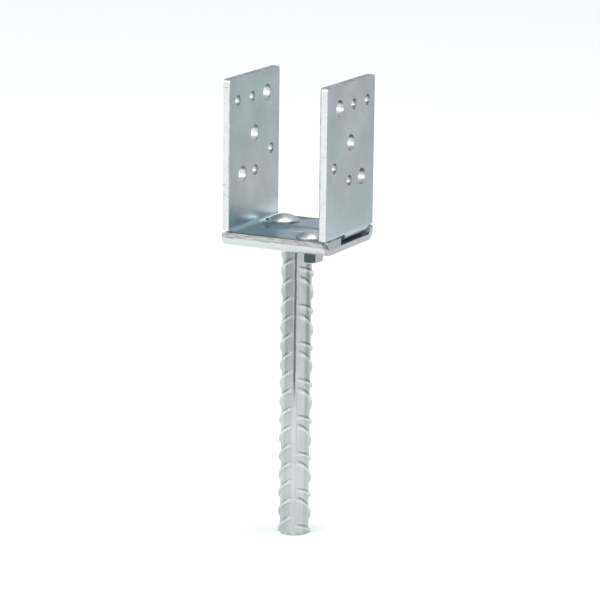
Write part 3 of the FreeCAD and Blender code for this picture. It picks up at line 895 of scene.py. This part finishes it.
def spun(bm, outline, centre):
    """Turn a closed outline of (radius, height) pairs about an upright axis through a place."""
    verts = [bm.verts.new((centre.x + radius, centre.y, centre.z + height)) for radius, height in outline]
    edges = [bm.edges.new((verts[step], verts[(step + 1) % len(verts)])) for step in range(len(verts))]
    bmesh.ops.spin(bm, geom=verts + edges, cent=centre, axis=(0, 0, 1), angle=FULL_TURN,
                   steps=AROUND_STEPS, use_merge=True)


def close_up(bm):
    """Merge the poles and seams of spun shapes and point every face outwards."""
    bmesh.ops.remove_doubles(bm, verts=bm.verts, dist=MERGE_DISTANCE)
    bmesh.ops.dissolve_degenerate(bm, edges=bm.edges, dist=DEGENERATE_LENGTH)
    axis_edges = [edge for edge in bm.edges if not edge.link_faces]
    bmesh.ops.delete(bm, geom=axis_edges, context="EDGES")
    bmesh.ops.recalc_face_normals(bm, faces=bm.faces)


def arc(centre, radius, start, end, steps):
    """Points of an arc in an outline, from one angle to another in degrees."""
    for step in range(steps + 1):
        angle = math.radians(start + (end - start) * step / steps)
        yield centre[0] + radius * math.cos(angle), centre[1] + radius * math.sin(angle)


def make_weld():
    """The weld bead under the tray, its swelling face laid in ripples."""
    bm = bmesh.new()
    inside = BAR_CORE / 2
    face = [(inside + (x - inside) * WELD_SCALE, z * WELD_SCALE)
            for x, z in arc((inside, 0), WELD_LEG, DOWN, OUT, WELD_FACE_STEPS)]
    spun(bm, [(inside, 0)] + face, Vector((0, 0, 0)))
    close_up(bm)
    for vert in bm.verts:
        x, y, z = vert.co
        out = math.hypot(x, y)
        along = math.atan2(y, x) * WELD_RIPPLES / FULL_TURN
        swell = math.sin(math.pi * held(-z / WELD_LEG))
        phase = (along - RIPPLE_LEAN * swell) % 1
        sink = RIPPLE_HEIGHT * phase * swell * min(1, (out - inside) / RIPPLE_FADE)
        vert.co = Vector((x * (out - sink) / out, y * (out - sink) / out, z + sink / 2))
    weld = finished(bm, "bar_weld", "base", [weld_zinc])
    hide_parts("weld_bead")


make_weld()


# ---------------------------------------------------------------- bolts and nuts

BOLT_RADIUS = 4 * MM
HEAD_DIAMETER = 20.65 * MM
HEAD_HEIGHT = 4.7 * MM
HEAD_EDGE = 1 * MM
DOME_STEPS = 24
RIM_ROUNDING = 0.35 * MM
RIM_STEPS = 5
NECK_SIDE = 8 * MM
NECK_DEPTH = 4.4 * MM
NECK_ROUNDING = 0.6 * MM
THREAD_PITCH = 1.25 * MM
THREAD_DEPTH = 0.65 * MM
# where a turn of thread starts and stops rising and falling, as shares of its pitch
THREAD_FLANKS = (0.15, 0.44, 0.56, 0.85)
THREAD_STEPS = 48
THREAD_SPARE_TURNS = 2
THREAD_MERGE = 0.01 * MM
CUT_TOLERANCE = 0.0001 * MM
BOLT_SHARP_ANGLE = math.radians(40)
# how squarely the flat of a nut with the painted dark reflection looks out to the front or back
OUTWARD = 0.9


def add_head(bm, centre, crown):
    """The low dome of a carriage bolt with a rounded rim."""
    rim = HEAD_DIAMETER / 2
    cap = HEAD_HEIGHT - HEAD_EDGE
    ball = (rim * rim + cap * cap) / (2 * cap)
    reach = math.degrees(math.asin((rim - RIM_ROUNDING) / ball))
    dome = list(arc((0, crown - ball), ball, UP, UP - reach, DOME_STEPS))
    edge_top = dome[-1][1] - RIM_ROUNDING
    seat = crown - HEAD_HEIGHT
    outline = dome[:-1]
    outline += arc((rim - RIM_ROUNDING, edge_top), RIM_ROUNDING, UP - reach, OUT, RIM_STEPS)
    outline += arc((rim - RIM_ROUNDING, seat + RIM_ROUNDING), RIM_ROUNDING, OUT, DOWN, RIM_STEPS)
    outline.append((0, seat))
    spun(bm, outline, Vector((centre.x, centre.y, 0)))


def add_neck(bm, centre, seat):
    """The square neck with slightly rounded corners."""
    size = Matrix.Diagonal((NECK_SIDE, NECK_SIDE, NECK_DEPTH, 1))
    place = Matrix.Translation((centre.x, centre.y, seat - NECK_DEPTH / 2))
    made = bmesh.ops.create_cube(bm, size=1, matrix=place @ size)
    upright = [edge for edge in {edge for vert in made["verts"] for edge in vert.link_edges}
               if abs(edge.verts[0].co.z - edge.verts[1].co.z) > NECK_DEPTH / 2]
    round_edges(bm, upright, NECK_ROUNDING)


def make_thread(low, high, centre):
    """A screwed rod between two heights: one pitch of thread wound up as a helix."""
    bm = bmesh.new()
    turns = math.ceil((high - low) / THREAD_PITCH) + THREAD_SPARE_TURNS
    start = low - THREAD_PITCH
    root = BOLT_RADIUS - THREAD_DEPTH
    rise, crest, fall, foot = THREAD_FLANKS
    profile = ((root, 0), (root, rise), (BOLT_RADIUS, crest), (BOLT_RADIUS, fall), (root, foot), (root, 1))
    verts = [bm.verts.new((centre.x + out, centre.y, start + up * THREAD_PITCH)) for out, up in profile]
    edges = [bm.edges.new((verts[step], verts[step + 1])) for step in range(len(verts) - 1)]
    bmesh.ops.spin(bm, geom=verts + edges, cent=(centre.x, centre.y, 0), axis=(0, 0, 1),
                   dvec=(0, 0, THREAD_PITCH / THREAD_STEPS), angle=FULL_TURN * turns,
                   steps=THREAD_STEPS * turns)
    bmesh.ops.remove_doubles(bm, verts=bm.verts, dist=THREAD_MERGE)
    for height, outwards in ((low, -1), (high, 1)):
        geometry = list(bm.verts) + list(bm.edges) + list(bm.faces)
        bmesh.ops.bisect_plane(bm, geom=geometry, dist=CUT_TOLERANCE, plane_co=(0, 0, height),
                               plane_no=(0, 0, outwards), clear_outer=True)
    bmesh.ops.holes_fill(bm, edges=[edge for edge in bm.edges if edge.is_boundary], sides=0)
    bmesh.ops.recalc_face_normals(bm, faces=bm.faces)
    return bm


def make_bolt(node, name):
    """A carriage bolt: domed head, square neck and screwed shank."""
    low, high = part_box(node)
    centre = (low + high) / 2
    seat = high.z - HEAD_HEIGHT
    bm = make_thread(low.z, seat - NECK_DEPTH, centre)
    add_head(bm, centre, high.z)
    add_neck(bm, centre, seat)
    close_up(bm)
    for edge in bm.edges:
        edge.smooth = not is_sharp(edge, BOLT_SHARP_ANGLE)
    bolt = finished(bm, name, "base", [fastener_zinc])
    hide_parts(node)


def make_nut(node, name, dark_side):
    """A hexagon nut with rounded edges; the flat that faces out carries a painted dark reflection."""
    bm = rounded_copy(node, NUT_ROUNDING)
    for face in bm.faces:
        # the flat facing out gets the painted dark reflection
        face.material_index = 1 if face.normal.y * dark_side > OUTWARD else 0
    nut = finished(bm, name, "base", [nut_zinc, painted_dark_reflection_zinc])
    weight_normals(nut)
    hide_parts(node)


make_bolt("front_bolt", "front_carriage_bolt")
make_bolt("back_bolt", "back_carriage_bolt")
make_nut("front_nut", "front_hexagon_nut", dark_side=-1)
make_nut("back_nut", "back_hexagon_nut", dark_side=1)


# ---------------------------------------------------------------- studio

FLOOR_HALF_SIDE = 30
FLOOR_DROP = 0.02 * MM
FLOOR_COLOUR = (0.93, 0.93, 0.93, 1)
FLOOR_ROUGHNESS = 0.9
FLOOR_GLOW = 0.12

SURROUNDINGS_FACING = (0.18, -0.95, 0.25)
SURROUNDINGS_BACK = (0.50, 0.565, 0.60, 1)
SURROUNDINGS_MIDDLE = (0.80, 0.83, 0.84, 1)
SURROUNDINGS_FRONT = (1.05, 1.05, 1.04, 1)
BACK_STOP = 0.05
MIDDLE_STOP = 0.5
FRONT_STOP = 0.95

CAMERA_AZIMUTH = math.radians(26.5483)
CAMERA_ELEVATION = math.radians(12.9086)
CAMERA_ROLL = math.radians(0.7499)
CAMERA_TARGET = Vector((2.267, 0, -38.692)) * MM
CAMERA_DISTANCE = 2201.73 * MM
CAMERA_LENS = 200.31
CAMERA_SENSOR = 36
CAMERA_NEAR = 0.1
CAMERA_FAR = 100


def make_floor():
    """A pale floor just under the bar's foot."""
    bm = bmesh.new()
    bmesh.ops.create_grid(bm, x_segments=1, y_segments=1, size=FLOOR_HALF_SIDE,
                          matrix=Matrix.Translation((0, 0, cad_low.z - FLOOR_DROP)))
    mesh = bpy.data.meshes.new("floor")
    bm.to_mesh(mesh)
    bm.free()
    floor = bpy.data.objects.new("floor", mesh)
    bpy.context.scene.collection.objects.link(floor)
    material = bpy.data.materials.new("floor_paper")
    material.use_nodes = True
    shader = material.node_tree.nodes["Principled BSDF"]
    shader.inputs["Base Color"].default_value = FLOOR_COLOUR
    shader.inputs["Roughness"].default_value = FLOOR_ROUGHNESS
    shader.inputs["Emission Color"].default_value = WHITE
    shader.inputs["Emission Strength"].default_value = FLOOR_GLOW
    mesh.materials.append(material)


def make_light(name, place, aim, size, power):
    """A square softbox that shines from one place towards another."""
    data = bpy.data.lights.new(name, "AREA")
    data.shape = "SQUARE"
    data.size = size
    data.energy = power
    light = bpy.data.objects.new(name, data)
    bpy.context.scene.collection.objects.link(light)
    light.location = place
    light.rotation_euler = (Vector(aim) - Vector(place)).to_track_quat("-Z", "Y").to_euler()


def make_world():
    """Soft surroundings: brighter towards the front, bluish and dimmer behind the part."""
    world = bpy.data.worlds.new("studio")
    world.use_nodes = True
    tree = world.node_tree
    direction = tree.nodes.new("ShaderNodeTexCoord").outputs["Generated"]
    facing = add(tree, "ShaderNodeVectorMath", {0: direction, 1: SURROUNDINGS_FACING},
                 operation="DOT_PRODUCT").outputs["Value"]
    ramp = add(tree, "ShaderNodeValToRGB", {"Fac": span(tree, facing, (-1.0, 1.0))})
    back, front = ramp.color_ramp.elements
    back.position = BACK_STOP
    back.color = SURROUNDINGS_BACK
    front.position = FRONT_STOP
    front.color = SURROUNDINGS_FRONT
    middle = ramp.color_ramp.elements.new(MIDDLE_STOP)
    middle.color = SURROUNDINGS_MIDDLE
    # straight behind the part the camera sees plain white
    seen = tree.nodes.new("ShaderNodeLightPath").outputs["Is Camera Ray"]
    colour = blend_colours(tree, seen, ramp.outputs["Color"], WHITE)
    tree.links.new(colour, tree.nodes["Background"].inputs["Color"])
    tree.nodes["Background"].inputs["Strength"].default_value = 1
    bpy.context.scene.world = world


def make_camera():
    """The camera, right of the front and a little above."""
    ahead = Vector((-math.sin(CAMERA_AZIMUTH) * math.cos(CAMERA_ELEVATION),
                    math.cos(CAMERA_AZIMUTH) * math.cos(CAMERA_ELEVATION),
                    -math.sin(CAMERA_ELEVATION)))
    right = Vector((math.cos(CAMERA_AZIMUTH), math.sin(CAMERA_AZIMUTH), 0))
    above = right.cross(ahead)
    tilted_right = right * math.cos(CAMERA_ROLL) + above * math.sin(CAMERA_ROLL)
    tilted_above = above * math.cos(CAMERA_ROLL) - right * math.sin(CAMERA_ROLL)
    turn = Matrix((tilted_right, tilted_above, -ahead)).transposed()
    data = bpy.data.cameras.new("camera")
    data.lens = CAMERA_LENS
    data.sensor_width = CAMERA_SENSOR
    data.clip_start = CAMERA_NEAR
    data.clip_end = CAMERA_FAR
    camera = bpy.data.objects.new("camera", data)
    bpy.context.scene.collection.objects.link(camera)
    camera.matrix_world = Matrix.Translation(CAMERA_TARGET - ahead * CAMERA_DISTANCE) @ turn.to_4x4()
    bpy.context.scene.camera = camera


make_floor()
make_world()
make_light("front_softbox", place=(-0.9, -1.9, 0.9), aim=(0, -0.4, -0.15), size=1.2, power=15)
make_light("top_softbox", place=(0.15, 0.1, 1.5), aim=(0, 0, 0), size=0.5, power=9)
make_camera()
bpy.context.scene.view_settings.view_transform = "Standard"
